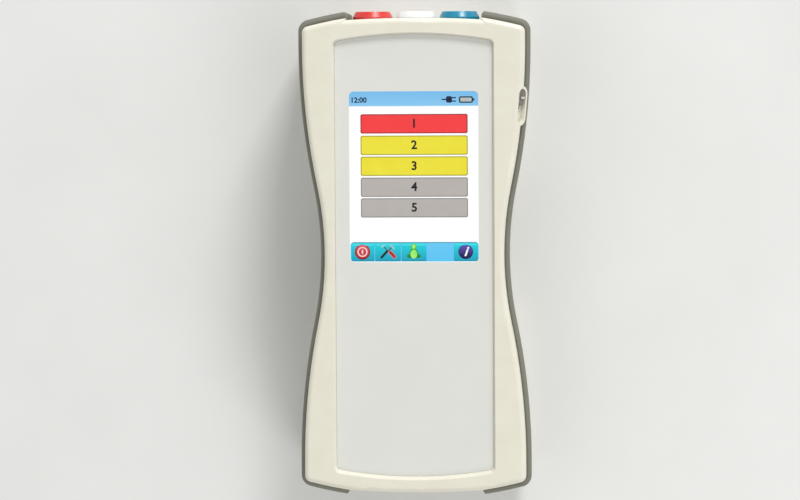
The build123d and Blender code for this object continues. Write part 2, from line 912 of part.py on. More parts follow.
# Battery door, a piece of the rear form on two tongues
with BuildPart() as battery_door:
    add(rear_form.part)
    block(
        (-door_half_width, door_half_width),
        (-heel_y, door_high_y),
        (0, back_z + door_thickness),
        Mode.INTERSECT,
    )
    block(
        (-tongue_half, tongue_half),
        (bay_low_y, door_high_y),
        (tongue_low_z, back_z + door_thickness),
    )
    for i in range(door_rib_count):
        rib_y = bay_low_y + door_rib_width + (i + 1) * door_rib_pitch
        block(
            (-door_rib_length / 2, door_rib_length / 2),
            (rib_y, rib_y + door_rib_width),
            (back_z - door_rib_height, back_z),
        )
save(battery_door, "battery_door")

# Four cells side by side across the bay, their ends turned about
with BuildPart() as battery_cells:
    for i in range(cell_count):
        turn = 1 if i % 2 else -1
        y = first_cell_y + i * cell_pitch
        with Locations(Location((0, y, cell_z), (0, turn * 90, 0))):
            Cylinder(cell_radius, cell_length)
            with Locations((0, 0, cell_length / 2)):
                Cylinder(
                    cell_tip_radius,
                    cell_tip_length,
                    align=(Align.CENTER, Align.CENTER, Align.MIN),
                )
save(battery_cells, "battery_cells")

# Shrink sleeve round the cells
with BuildPart() as battery_wrap:
    with BuildSketch(Plane.YZ) as wrap_profile:
        with Locations((first_cell_y + (cell_count - 1) * cell_pitch / 2, cell_z)):
            SlotCenterToCenter(
                (cell_count - 1) * cell_pitch, 2 * (cell_radius + screw_fit + wrap_thickness)
            )
            SlotCenterToCenter(
                (cell_count - 1) * cell_pitch,
                2 * (cell_radius + screw_fit),
                mode=Mode.SUBTRACT,
            )
    extrude(amount=cell_length / 2 + cell_tip_length, both=True)
save(battery_wrap, "battery_wrap")

# Two terminals from the pack up to the port board
with BuildPart() as battery_contacts:
    post(
        terminal_points,
        terminal_radius,
        cell_z + cell_radius + screw_fit + wrap_thickness + screw_fit,
        port_board_z,
    )
save(battery_contacts, "battery_contacts")

# Connector plate in the gap between the grips at the socket end
collar_bow = notch_radius - sqrt(notch_radius**2 - socket_pitch**2)
collar_seat_y = notch_y - collar_bow - collar_seat
shell_front_y = half_length - shell_setback
bore_low_y = shell_front_y - bore_depth
shell_back_y = bore_low_y - insert_thickness
insert_radius = bore_radius - collar_lip
sockets = (("red", -socket_pitch), ("white", 0), ("blue", socket_pitch))
contact_places = [
    (
        contact_circle_radius * cos(radians(360 * i / contact_count)),
        contact_circle_radius * sin(radians(360 * i / contact_count)),
    )
    for i in range(contact_count)
]
with BuildPart() as connector_plate:
    block(
        (-plate_half_width + plate_fit, plate_half_width - plate_fit),
        (plate_back_y, end_apex),
        (socket_z - plate_half_height + plate_fit, socket_z + plate_half_height - plate_fit),
    )
    flange_half = plate_half_width + plate_flange - plate_fit
    flange_rise = plate_half_height + plate_flange - plate_fit
    block(
        (-flange_half, flange_half),
        (plate_back_y, end_wall_y),
        (socket_z - flange_rise, socket_z + flange_rise),
    )
    add(notch, mode=Mode.SUBTRACT)
    for colour, x in sockets:
        barrel(x, socket_z, shell_radius + socket_fit, 0, end_apex, Mode.SUBTRACT)
        barrel(x, socket_z, collar_base_radius + socket_fit, collar_seat_y, end_apex, Mode.SUBTRACT)
save(connector_plate, "connector_plate")


def make_socket(colour, x):
    """One round socket: its coloured collar, its shell and its insert."""
    with BuildPart() as collar:
        with BuildSketch(Plane.YZ.offset(x)) as collar_profile:
            with BuildLine():
                inner_z = socket_z + shell_radius + socket_fit
                lip_y = notch_y + collar_lip
                Polyline(
                    (collar_seat_y, inner_z),
                    (collar_seat_y, socket_z + collar_base_radius),
                    (lip_y, socket_z + collar_base_radius),
                    (half_length, socket_z + collar_top_radius),
                    (half_length, inner_z),
                    close=True,
                )
            make_face()
            shoulders = collar_profile.vertices().sort_by(Axis.Y)[-2:]
            fillet(shoulders.sort_by(Axis.X)[0], collar_lip)
        revolve(axis=Axis((x, 0, socket_z), (0, 1, 0)))
        fillet(collar.edges().group_by(Axis.Y)[-1].sort_by(SortBy.RADIUS)[-1], collar_lip / 2)
    save(collar, f"{colour}_collar")
    with BuildPart() as shell:
        barrel(x, socket_z, shell_radius, shell_back_y, shell_front_y)
        barrel(x, socket_z, insert_radius, shell_back_y, bore_low_y, Mode.SUBTRACT)
        barrel(x, socket_z, bore_radius, bore_low_y, shell_front_y, Mode.SUBTRACT)
    save(shell, f"{colour}_socket_shell")
    with BuildPart() as insert:
        barrel(x, socket_z, insert_radius - screw_fit, shell_back_y, bore_low_y)
        for px, pz in contact_places:
            barrel(
                x + px,
                socket_z + pz,
                contact_radius + screw_fit,
                shell_back_y,
                bore_low_y,
                Mode.SUBTRACT,
            )
    save(insert, f"{colour}_socket_insert")


for colour, x in sockets:
    make_socket(colour, x)

# Nuts that draw the sockets against the back of the plate
with BuildPart() as socket_nuts:
    for colour, x in sockets:
        with BuildSketch(
            Plane(
                origin=(x, plate_back_y - nut_thickness, socket_z),
                x_dir=(1, 0, 0),
                z_dir=(0, 1, 0),
            )
        ):
            RegularPolygon(nut_radius, hex_sides)
            Circle(shell_radius + socket_fit, mode=Mode.SUBTRACT)
        extrude(amount=nut_thickness)
save(socket_nuts, "socket_nuts")

# Socket board, with the contacts that run through it
socket_board_front = shell_back_y - socket_board_gap
socket_board_back = socket_board_front - board_thickness
with BuildPart() as socket_contacts:
    for colour, x in sockets:
        for px, pz in contact_places:
            barrel(
                x + px,
                socket_z + pz,
                contact_radius,
                socket_board_back - socket_board_gap,
                bore_low_y - screw_fit,
            )
save(socket_contacts, "socket_contacts")

with BuildPart() as socket_board:
    block(
        (-socket_board_half_width, socket_board_half_width),
        (socket_board_back, socket_board_front),
        (board_z - socket_board_height, board_z),
    )
    for colour, x in sockets:
        for px, pz in contact_places:
            barrel(
                x + px,
                socket_z + pz,
                contact_radius + screw_fit,
                socket_board_back,
                socket_board_front,
                Mode.SUBTRACT,
            )
save(socket_board, "socket_board")

header_low_y = board_high_y - header_overlap
with BuildPart() as socket_header:
    block(
        (-header_half_width, header_half_width),
        (header_low_y, socket_board_back),
        (board_z - header_height, board_z),
    )
save(socket_header, "socket_header")

# Main board, notched round the housing bosses
with BuildPart() as main_board:
    with BuildSketch(Plane.XY.offset(board_z)):
        Rectangle(2 * board_half_width, board_high_y - board_low_y)
        with Locations(screw_points):
            Circle(upper_boss_radius + board_notch, mode=Mode.SUBTRACT)
        with Locations(post_points):
            Circle(board_screw_shank_radius + screw_fit, mode=Mode.SUBTRACT)
    extrude(amount=board_thickness)
save(main_board, "main_board")

with BuildPart() as board_screws:
    post(post_points, board_screw_head_radius, board_z - board_screw_head_height, board_z)
    post(post_points, board_screw_shank_radius, board_z, board_z + board_screw_length)
save(board_screws, "board_screws")

# Chips on the upper face of the main board, inside the display carrier
with BuildPart() as processor:
    with BuildSketch(Plane.XY.offset(board_top_z)):
        with Locations((0, window_y)):
            Rectangle(processor_side, processor_side)
    extrude(amount=processor_height)
    chamfer(processor.edges().group_by(Axis.Z)[-1], processor_chamfer)
save(processor, "processor")

memory_x = display_width / 2 - carrier_wall - memory_gap - memory_width / 2
with BuildPart() as memory_chips:
    with BuildSketch(Plane.XY.offset(board_top_z)):
        for side in (-1, 1):
            with Locations((side * memory_x, window_y)):
                Rectangle(memory_width, memory_length)
    extrude(amount=memory_height)
save(memory_chips, "memory_chips")

# Signal converter and the shield can over it, under the main board
with BuildPart() as signal_converter:
    with BuildSketch(Plane.XY.offset(board_z)):
        with Locations((0, shield_y)):
            Rectangle(converter_side, converter_side)
    extrude(amount=-converter_height)
save(signal_converter, "signal_converter")

with BuildPart() as shield_can:
    with BuildSketch(Plane.XY.offset(board_z)):
        with Locations((0, shield_y)):
            Rectangle(shield_width, shield_length)
    extrude(amount=-shield_height)
    with BuildSketch(Plane.XY.offset(board_z)):
        with Locations((0, shield_y)):
            Rectangle(shield_width - 2 * shield_sheet, shield_length - 2 * shield_sheet)
    extrude(amount=shield_sheet - shield_height, mode=Mode.SUBTRACT)
save(shield_can, "shield_can")

# Supply capacitors and the clock cell in its holder
with BuildPart() as capacitors:
    capacitor_pitch = 2 * capacitor_radius + capacitor_gap
    capacitor_points = [(supply_x, supply_y + i * capacitor_pitch) for i in (-1, 0, 1)]
    post(capacitor_points, capacitor_radius, board_top_z, board_top_z + capacitor_height)
save(capacitors, "capacitors")

coin_point = [(-supply_x, supply_y)]
coin_low_z = board_top_z + holder_height
with BuildPart() as coin_holder:
    post(coin_point, coin_radius + holder_margin, board_top_z, coin_low_z + holder_side_height)
    post(
        coin_point,
        coin_radius + holder_margin - holder_wall,
        coin_low_z,
        coin_low_z + holder_side_height,
        Mode.SUBTRACT,
    )
save(coin_holder, "coin_holder")

with BuildPart() as coin_cell:
    post(coin_point, coin_radius, coin_low_z, coin_low_z + coin_height)
save(coin_cell, "coin_cell")

# Port board on the roof of the battery bay, with the power jack and the data port
with BuildPart() as port_board:
    block(
        (-port_board_half_width, port_board_half_width),
        (port_board_low_y, port_board_high_y),
        (port_board_z, port_z),
    )
save(port_board, "port_board")

with BuildPart() as power_jack:
    block(
        (jack_x - jack_width / 2, jack_x + jack_width / 2),
        (port_face_y, port_face_y + jack_length),
        (port_z, port_z + jack_height),
    )
    barrel(
        jack_x, jack_z, jack_bore_radius, port_face_y, port_face_y + jack_bore_depth, Mode.SUBTRACT
    )
save(power_jack, "power_jack")

with BuildPart() as power_pin:
    barrel(
        jack_x,
        jack_z,
        jack_pin_radius,
        port_face_y + jack_pin_radius,
        port_face_y + jack_bore_depth,
    )
    fillet(power_pin.edges().group_by(Axis.Y)[0], jack_pin_radius / 2)
save(power_pin, "power_pin")

with BuildPart() as usb_port:
    block(
        (usb_x - usb_width / 2, usb_x + usb_width / 2),
        (port_face_y, port_face_y + usb_length),
        (port_z, port_z + usb_height),
    )
    block(
        (usb_x - usb_width / 2 + usb_sheet, usb_x + usb_width / 2 - usb_sheet),
        (port_face_y, port_face_y + usb_length - usb_sheet),
        (port_z + usb_sheet, port_z + usb_height - usb_sheet),
        Mode.SUBTRACT,
    )
save(usb_port, "usb_port")

with BuildPart() as usb_tongue:
    block(
        (usb_x - usb_tongue_width / 2, usb_x + usb_tongue_width / 2),
        (port_face_y + usb_tongue_height, port_face_y + usb_length - usb_sheet),
        (
            port_z + (usb_height - usb_tongue_height) / 2,
            port_z + (usb_height + usb_tongue_height) / 2,
        ),
    )
save(usb_tongue, "usb_tongue")

# Ribbon from the port board up to the main board
with BuildPart() as power_flex:
    flex_x = (-flex_half_width, flex_half_width)
    flex_y = port_board_high_y
    block(flex_x, (flex_y - flex_foot, flex_y), (port_z, port_z + ribbon_thickness))
    block(flex_x, (flex_y - ribbon_thickness, flex_y), (port_z, board_z))
    block(flex_x, (flex_y, flex_y + flex_foot), (board_z - ribbon_thickness, board_z))
save(power_flex, "power_flex")

# Plate in the gap between the grips at the heel
with BuildPart() as port_plate:
    with BuildSketch(Plane.XY.offset(grip_low_z)):
        add(housing_outline)
    extrude(amount=grip_high_z - grip_low_z)
    add(heel_cut, mode=Mode.SUBTRACT)
    add(heel_groove, mode=Mode.INTERSECT)
    block(
        (-gap_half + port_plate_fit, gap_half - port_plate_fit),
        (-end_apex, -half_width),
        (0, front_z),
        Mode.INTERSECT,
    )
    barrel(jack_x, jack_z, jack_width / 2, -end_apex, 0, Mode.SUBTRACT)
    block(
        (usb_x - usb_width / 2, usb_x + usb_width / 2),
        (-end_apex, 0),
        (port_z, port_z + usb_height),
        Mode.SUBTRACT,
    )
save(port_plate, "port_plate")

# Speaker on its gasket behind the holes in the back
speaker_point = [(0, speaker_y)]
speaker_low_z = back_z + back_wall + speaker_gasket_thickness
with BuildPart() as speaker_gasket:
    post(speaker_point, speaker_radius, back_z + back_wall, speaker_low_z)
    post(
        speaker_point,
        speaker_radius - speaker_gasket_width,
        back_z + back_wall,
        speaker_low_z,
        Mode.SUBTRACT,
    )
save(speaker_gasket, "speaker_gasket")

with BuildPart() as speaker:
    post(speaker_point, speaker_radius, speaker_low_z, speaker_low_z + speaker_height / 2)
    magnet_radius = speaker_radius * speaker_magnet_share
    post(speaker_point, magnet_radius, speaker_low_z, speaker_low_z + speaker_height)
save(speaker, "speaker")

# Screws that close the housings
with BuildPart() as housing_screws:
    post(screw_points, screw_head_radius, screw_seat_z - screw_head_height, screw_seat_z)
    post(screw_points, screw_shank_radius, screw_seat_z, screw_tip_z)
    with BuildSketch(Plane.XY.offset(screw_seat_z - screw_head_height)):
        with Locations(screw_points):
            RegularPolygon(screw_shank_radius, hex_sides)
    extrude(amount=screw_head_height / 2, mode=Mode.SUBTRACT)
save(housing_screws, "housing_screws")

# Feet
with BuildPart() as rear_feet:
    post(feet_points, foot_radius, 0, back_z + foot_seat)
    fillet(rear_feet.edges().group_by(Axis.Z)[0], foot_seat / 2)
save(rear_feet, "rear_feet")

# Blank rating plate in its recess
with BuildPart() as rating_plate:
    block(
        (-label_width / 2 + plate_fit, label_width / 2 - plate_fit),
        (label_y - label_length / 2 + plate_fit, label_y + label_length / 2 - plate_fit),
        (back_z, back_z + label_thickness),
    )
save(rating_plate, "rating_plate")

# Oval surround of the power slider, with a floor that the slider's stem runs through
with BuildPart() as switch_bezel:
    with BuildSketch(switch_plane.offset(-bezel_depth)):
        SlotOverall(bezel_length, bezel_width)
    extrude(amount=bezel_depth + bezel_proud)
    rim = switch_bezel.faces().sort_by(Axis(switch_plane.origin, switch_plane.z_dir))[-1]
    fillet(rim.edges(), bezel_edge_radius)
    with BuildSketch(switch_plane.offset(bezel_floor - bezel_depth)):
        SlotOverall(well_length, well_width)
    extrude(amount=bezel_depth + bezel_proud, mode=Mode.SUBTRACT)
    with BuildSketch(switch_plane.offset(-bezel_depth)):
        with Locations((stem_slot_u, 0)):
            Rectangle(stem_slot_length, stem_slot_width)
    extrude(amount=bezel_floor, mode=Mode.SUBTRACT)
save(switch_bezel, "switch_bezel")

with BuildPart() as power_slider:
    knob_low = bezel_floor - bezel_depth + bezel_fit
    with BuildSketch(switch_plane.offset(knob_low)):
        with Locations((knob_u, 0)):
            RectangleRounded(knob_length, knob_width, knob_width / 2 - knob_side_gap / 2)
    extrude(amount=-knob_top_drop - knob_low)
    with BuildSketch(switch_plane.offset(-knob_top_drop)):
        with Locations((knob_u, 0)):
            Rectangle(knob_rib_width, knob_width - knob_rib_width)
    extrude(amount=knob_rib_height)
    with BuildSketch(switch_plane.offset(-bezel_depth - stem_depth)):
        with Locations((knob_u, 0)):
            Rectangle(stem_size, stem_size)
    extrude(amount=stem_depth + bezel_floor + bezel_fit)
save(power_slider, "power_slider")

with BuildPart() as switch_body:
    with BuildSketch(switch_plane.offset(-bezel_depth - switch_depth)):
        Rectangle(switch_length, switch_width)
    extrude(amount=switch_depth)
    with BuildSketch(switch_plane.offset(-bezel_depth)):
        with Locations((stem_slot_u, 0)):
            Rectangle(stem_slot_length, stem_slot_width)
    extrude(amount=-stem_depth - knob_side_gap, mode=Mode.SUBTRACT)
save(switch_body, "switch_body")
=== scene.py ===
"""Looks of an otoacoustic emission analyzer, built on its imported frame."""

import json
from math import asin, atan2, cos, degrees, pi, radians, sin, tan

import bmesh
import bpy
from mathutils import Matrix, Vector


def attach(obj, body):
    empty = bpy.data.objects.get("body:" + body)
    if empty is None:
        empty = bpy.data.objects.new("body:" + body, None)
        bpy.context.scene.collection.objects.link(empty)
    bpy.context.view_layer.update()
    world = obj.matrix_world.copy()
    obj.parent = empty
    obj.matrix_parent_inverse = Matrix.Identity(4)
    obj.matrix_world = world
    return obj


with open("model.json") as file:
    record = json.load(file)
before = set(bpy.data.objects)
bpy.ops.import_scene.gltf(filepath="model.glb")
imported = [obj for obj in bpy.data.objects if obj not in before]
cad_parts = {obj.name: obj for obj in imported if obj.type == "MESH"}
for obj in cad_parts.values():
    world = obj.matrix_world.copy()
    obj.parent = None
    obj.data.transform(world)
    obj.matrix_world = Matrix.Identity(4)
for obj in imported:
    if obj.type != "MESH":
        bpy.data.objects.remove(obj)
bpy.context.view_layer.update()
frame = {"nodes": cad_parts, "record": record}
nodes = frame["nodes"]
scene = bpy.context.scene
MM = 0.001

# Limits of the masks that mark edges, for rubbing and a painted highlight, and seams, for grime and
# painted shade
EDGE_TURNED, EDGE_FLAT = 0.86, 0.995
SEAM_CLOSED, SEAM_OPEN = 0.35, 0.85

# Plastics, rubbers and films: colours as they are seen, lengths in millimetres. Their lighter edge
# colour stands for rubbing and a painted highlight, their darker seam colour for grime and painted
# shade
PLASTICS = {
    # Ivory: its lighter edge colour is partly a painted highlight on the rounded bezel, its seam colour
    # partly painted shade
    "ivory_shell": dict(
        color=(230, 227, 211), deep=(226, 222, 205), rough=0.4, grain=0.32, depth=0.010,
        wear=(244, 243, 235), dirt=(150, 144, 126), seam=0.5, hairlines=0.08, Specular_IOR_Level=0.65,
    ),
    # Grip: its lighter edge colour is a painted highlight on the rounded rail, its dark seam colour
    # painted shade beside the shell
    "grey_grip": dict(
        color=(124, 123, 112), deep=(118, 118, 107), rough=0.72, grain=0.28, depth=0.030,
        wear=(150, 150, 141), dirt=(46, 45, 39), seam=1.0, reach=2.6, Sheen_Weight=0.08,
    ),
    "plate_grey": dict(
        color=(152, 152, 147), deep=(140, 140, 135), rough=0.5, grain=0.3,
        wear=(176, 176, 172), dirt=(90, 90, 86),
    ),
    "overlay_print": dict(
        color=(222, 222, 216), deep=(218, 219, 213), rough=0.5, grain=0.16, depth=0.004,
        mottle=22.0, spread=0.04, wear=(236, 236, 232), hairlines=0.10,
    ),
    "display_face": dict(color=(28, 29, 32), deep=(22, 23, 26), rough=0.2, grain=0.23, depth=0.001),
    "white_plastic": dict(
        color=(232, 232, 228), deep=(222, 222, 218), rough=0.42,
        wear=(244, 244, 242), dirt=(150, 150, 146),
    ),
    "black_foam": dict(
        color=(44, 44, 44), deep=(30, 30, 30), rough=0.88, grain=0.22, depth=0.09, mottle=3.0,
    ),
    "ribbon_film": dict(
        color=(196, 128, 50), deep=(176, 108, 38), rough=0.24, grain=0.5, depth=0.010,
        mottle=4.0, Coat_Weight=0.3,
    ),
    "socket_grey": dict(
        color=(172, 174, 174), deep=(158, 160, 160), rough=0.4,
        wear=(200, 202, 202), dirt=(96, 96, 96),
    ),
    "black_plastic": dict(color=(44, 44, 46), deep=(36, 36, 38), rough=0.42, wear=(74, 74, 76)),
    "chip_black": dict(
        color=(46, 46, 48), deep=(38, 38, 40), rough=0.55, grain=0.15, depth=0.008, mottle=3.0,
    ),
    "wrap_film": dict(
        color=(58, 122, 176), deep=(44, 102, 158), rough=0.26, grain=0.8, depth=0.02,
        mottle=5.0, wear=(120, 166, 204), Coat_Weight=0.25,
    ),
    "foot_rubber": dict(
        color=(60, 60, 60), deep=(48, 48, 48), rough=0.85, grain=0.3, depth=0.03,
        mottle=3.0, wear=(96, 96, 95),
    ),
    # Knob: its lighter edge colour is a painted highlight where the rib catches light, its seam colour
    # partly painted shade
    "knob_grey": dict(
        color=(130, 122, 114), deep=(118, 110, 103), rough=0.5, grain=0.2, mottle=3.0,
        wear=(176, 172, 164), dirt=(66, 60, 54),
    ),
}

# Glossy rings round the sockets; their last colour is a painted highlight on their edges
RINGS = {
    "red_ring": dict(color=(230, 68, 62), deep=(216, 46, 42), glow=(250, 170, 162)),
    "white_ring": dict(color=(252, 253, 253), deep=(247, 249, 249), glow=(255, 255, 255)),
    "blue_ring": dict(color=(0, 146, 178), deep=(0, 128, 164), glow=(120, 206, 230)),
}

# Metals, in linear colours
METALS = {
    "steel": dict(
        color=(0.62, 0.62, 0.60, 1), deep=(0.50, 0.50, 0.49, 1), rough=0.30, lines=(1, 12, 12),
    ),
    "nickel": dict(
        color=(0.70, 0.69, 0.64, 1), deep=(0.60, 0.58, 0.54, 1), rough=0.2, depth=0.002,
    ),
    "gold": dict(
        color=(0.90, 0.66, 0.28, 1), deep=(0.80, 0.55, 0.20, 1), rough=0.2, depth=0.002,
    ),
    "can_aluminium": dict(
        color=(0.78, 0.78, 0.79, 1), deep=(0.68, 0.68, 0.70, 1), rough=0.24, lines=(1, 1, 9),
    ),
    "cell_steel": dict(
        color=(0.58, 0.59, 0.58, 1), deep=(0.46, 0.47, 0.46, 1), rough=0.26, lines=(9, 1, 9),
    ),
    "plate_silver": dict(
        color=(0.74, 0.74, 0.73, 1), deep=(0.66, 0.66, 0.65, 1), rough=0.34, lines=(1, 14, 14),
        depth=0.003,
    ),
}

# Places on the screen, in millimetres; its pieces are stacked in thin layers
SCREEN_Z = 47.4
LAYER = 0.04
WINDOW_LOW = -3.05
WINDOW_HIGH = 68.85
WINDOW_HALF = 27.2
WINDOW_RADIUS = 1.0
GROUND_LOW = -4.0
GROUND_HIGH = 69.8
GROUND_HALF = 28.4
GROUND_LAYERS = 26
SURROUND_GAP = 0.1
SURROUND_REACH = 0.7
SURROUND_LAYERS = 48
STATUS_LOW = 62.75
STATUS_HIGH = 69.6
STATUS_HALF = 28.2
STATUS_LINE = 0.25
TOOLBAR_LOW = -2.75
TOOLBAR_HIGH = 5.2
TOOLBAR_HALF = 26.9
TOOLBAR_EDGE = 0.2
BAR_LEFT = -22.55
BAR_RIGHT = 22.65
BAR_BORDER = 0.42
BAR_FILL_INSET = 0.2
BAR_RADIUS = 0.8
BAR_TOPS = (59.25, 50.2, 41.4, 32.55, 23.85)
BAR_HEIGHT = 8.15
NUMERAL_SIZE = 5.1
CLOCK_SIZE = 3.1
CLOCK_X, CLOCK_Y = -23.3, 65.1
CHARGE_CELLS = 4
CHARGE_PITCH = 1.18
CHARGE_WIDTH = 1.04
CHARGE_LEFT = 19.6
BUTTON_EDGES = (-26.9, -16.8, -5.65, 5.2, 16.4, 26.9)
BUTTON_GAP = 0.15
SHINE_LOW = 3.7
SIGN_Y = 1.2
POWER_X, TOOLS_X, PERSON_X, INFO_X = -22.0, -11.15, -0.3, 21.6

# Button colours: fill from its low to its high edge, border, rows from the top
BAR_COLORS = (
    ("red", (255, 58, 60), (255, 66, 66), (150, 22, 32), (0,)),
    ("yellow", (245, 230, 46), (248, 236, 56), (168, 160, 28), (1, 2)),
    ("grey", (186, 180, 174), (190, 184, 178), (140, 135, 130), (3, 4)),
)

# Rib of the power slider; its well leans outward, on the flank's arc below the widest place
WELL_START = Vector((45.238, 62.398, 48.5))
WELL_LEAN = 33.0
WELL_INSET = 25.6
FLANK_RADIUS = 292.5
RIB_ALONG = 3.5
RIB_OUTWARD = 0.4
# A thin light sheet on the rib stands for a painted highlight
HIGHLIGHT_LENGTH = 0.9
HIGHLIGHT_WIDTH = 2.5
HIGHLIGHT_THICKNESS = 0.08

# Camera: straight above, leaning a little from the top right, in degrees and metres
LEAN_X, LEAN_Y, ROLL = 3.549, 3.66, -0.328
TARGET = Vector((-7.229, 0.844, 30.0)) * MM
DISTANCE = 1.3
PIXEL_MM = 0.4276
PICTURE_WIDTH = 800
SENSOR = 36
CLIP_END = 20

# Soft boxes: name, place and side in metres, watts
LAMPS = (
    ("key_light", (0.66, 2.06, 1.24), 0.7, 37),
    ("top_light", (0.1, 1.6, 0.34), 0.5, 2.8),
    ("low_light", (0.5, -0.8, 0.62), 0.5, 3.0),
    ("fill_light", (-0.9, -0.5, 1.3), 1.2, 1.6),
)
ROOM_LIGHT = 0.55

# Floor, in metres
FLOOR_HALF = 4.0
FLOOR_SQUARES = 8


def tint(r, g, b):
    """A colour as it is seen, turned into linear light."""
    return tuple((v / 255) ** 2.2 for v in (r, g, b)) + (1,)


# Finishes


class Finish:
    """A material under construction, with short calls for its nodes."""

    def __init__(self, name):
        self.material = bpy.data.materials.new(name)
        self.material.use_nodes = True
        self.tree = self.material.node_tree
        self.shader = self.tree.nodes["Principled BSDF"]
        self.coords = self.node("ShaderNodeTexCoord").outputs["Object"]

    def node(self, kind, **values):
        """A node of a kind, with its settings."""
        made = self.tree.nodes.new(kind)
        for key, value in values.items():
            setattr(made, key, value)
        return made

    def join(self, source, target):
        """A link from an output to an input."""
        self.tree.links.new(source, target)

    def set(self, **values):
        """Inputs of the shader, with underscores for the spaces in their names."""
        for key, value in values.items():
            self.shader.inputs[key.replace("_", " ")].default_value = value

    def stretch(self, x, y, z):
        """The object's coordinates, scaled along each axis."""
        made = self.node("ShaderNodeMapping")
        made.inputs["Scale"].default_value = (x, y, z)
        self.join(self.coords, made.inputs["Vector"])
        return made.outputs["Vector"]

    def noise(self, size, detail=3, coords=None, roughness=0.5):
        """Noise with features of a size in millimetres."""
        made = self.node("ShaderNodeTexNoise")
        made.inputs["Scale"].default_value = 1 / (size * MM)
        made.inputs["Detail"].default_value = detail
        made.inputs["Roughness"].default_value = roughness
        self.join(coords or self.coords, made.inputs["Vector"])
        return made.outputs["Fac"]

    def span(self, value, low, high, start=0.3, end=0.7):
        """The value's range from start to end, spread from low to high."""
        made = self.node("ShaderNodeMapRange")
        for key, number in (
            ("From Min", start),
            ("From Max", end),
            ("To Min", low),
            ("To Max", high),
        ):
            made.inputs[key].default_value = number
        self.join(value, made.inputs["Value"])
        return made.outputs["Result"]

    def mix(self, factor, first, second):
        """A blend of two colours by a factor."""
        made = self.node("ShaderNodeMix", data_type="RGBA")
        self.join(factor, made.inputs["Factor"])
        for key, value in (("A", first), ("B", second)):
            socket = [s for s in made.inputs if s.name == key and s.type == "RGBA"][0]
            if isinstance(value, tuple):
                socket.default_value = value
            else:
                self.join(value, socket)
        return [s for s in made.outputs if s.type == "RGBA"][0]

    def math(self, kind, first, second):
        """Arithmetic on two values."""
        made = self.node("ShaderNodeMath", operation=kind)
        for socket, value in zip(made.inputs, (first, second)):
            if isinstance(value, (int, float)):
                socket.default_value = value
            else:
                self.join(value, socket)
        return made.outputs["Value"]

    def bump(self, height, depth, strength=1.0, under=None):
        """A bump of a depth in millimetres, over another one where given."""
        made = self.node("ShaderNodeBump")
        made.inputs["Distance"].default_value = depth * MM
        made.inputs["Strength"].default_value = strength
        self.join(height, made.inputs["Height"])
        if under is not None:
            self.join(under, made.inputs["Normal"])
        return made.outputs["Normal"]

    def edges(self, radius):
        """How far each point lies on a rounded edge, from 0 to 1."""
        rounded = self.node("ShaderNodeBevel", samples=4)
        rounded.inputs["Radius"].default_value = radius * MM
        flat = self.node("ShaderNodeNewGeometry")
        dot = self.node("ShaderNodeVectorMath", operation="DOT_PRODUCT")
        self.join(rounded.outputs["Normal"], dot.inputs[0])
        self.join(flat.outputs["Normal"], dot.inputs[1])
        return self.span(dot.outputs["Value"], 1, 0, EDGE_TURNED, EDGE_FLAT)

    def seams(self, distance):
        """How deep each point lies in a seam, from 0 to 1, by ambient occlusion; it marks where shade
        is painted.
        """
        made = self.node("ShaderNodeAmbientOcclusion", samples=6)
        made.inputs["Distance"].default_value = distance * MM
        return self.span(made.outputs["AO"], 1, 0, SEAM_CLOSED, SEAM_OPEN)

    def scratches(self, amount):
        """Fine hairlines in two directions, from 0 to the amount."""
        across = self.noise(1.0, 2, self.stretch(0.02, 1.4, 1.4))
        along = self.noise(1.0, 2, self.stretch(1.3, 0.03, 1.3))
        first = self.span(across, 0, amount, 0.66, 0.72)
        second = self.span(along, 0, amount, 0.67, 0.73)
        return self.math("MAXIMUM", first, second)


def plastic(
    name, color, deep, rough, grain=0.35, depth=0.012, mottle=9.0, spread=0.06,
    wear=None, dirt=None, seam=0.8, reach=1.6, hairlines=0.0, **values
):
    """Moulded plastic, rubber or film: mottled colour, uneven gloss, fine grain, edges lightened by
    rubbing and a painted highlight, seams darkened by grime and painted shade.
    """
    made = Finish(name)
    shade = made.mix(made.span(made.noise(mottle), 0, 1), tint(*deep), tint(*color))
    speck = made.span(made.noise(grain * 2.2, 2), 0, 1, 0.42, 0.62)
    cloud = made.mix(made.span(made.noise(mottle * 0.3), 0, 0.5), shade, tint(*deep))
    shade = made.mix(speck, cloud, shade)
    gloss = made.span(made.noise(mottle * 0.4, 4), rough - spread, rough + spread)
    if wear is not None:
        # Edges lighter: partly rubbing, partly a painted highlight
        worn_and_lit = made.math("MULTIPLY", made.edges(0.7), made.span(made.noise(2.5, 4), 0.1, 0.75))
        shade = made.mix(worn_and_lit, shade, tint(*wear))
        gloss = made.math("SUBTRACT", gloss, made.math("MULTIPLY", worn_and_lit, 0.12))
    if dirt is not None:
        # Seams darker by ambient occlusion: partly grime, partly painted shade
        patchy = made.span(made.noise(4.0), seam - 0.35, seam)
        grimy_and_shaded = made.math("MULTIPLY", made.seams(reach), patchy)
        shade = made.mix(grimy_and_shaded, shade, tint(*dirt))
    if hairlines:
        gloss = made.math("ADD", gloss, made.scratches(hairlines))
    made.join(shade, made.shader.inputs["Base Color"])
    made.join(gloss, made.shader.inputs["Roughness"])
    skin = made.noise(grain, 3, roughness=0.6)
    made.join(made.bump(skin, depth), made.shader.inputs["Normal"])
    made.set(**values)
    return made.material


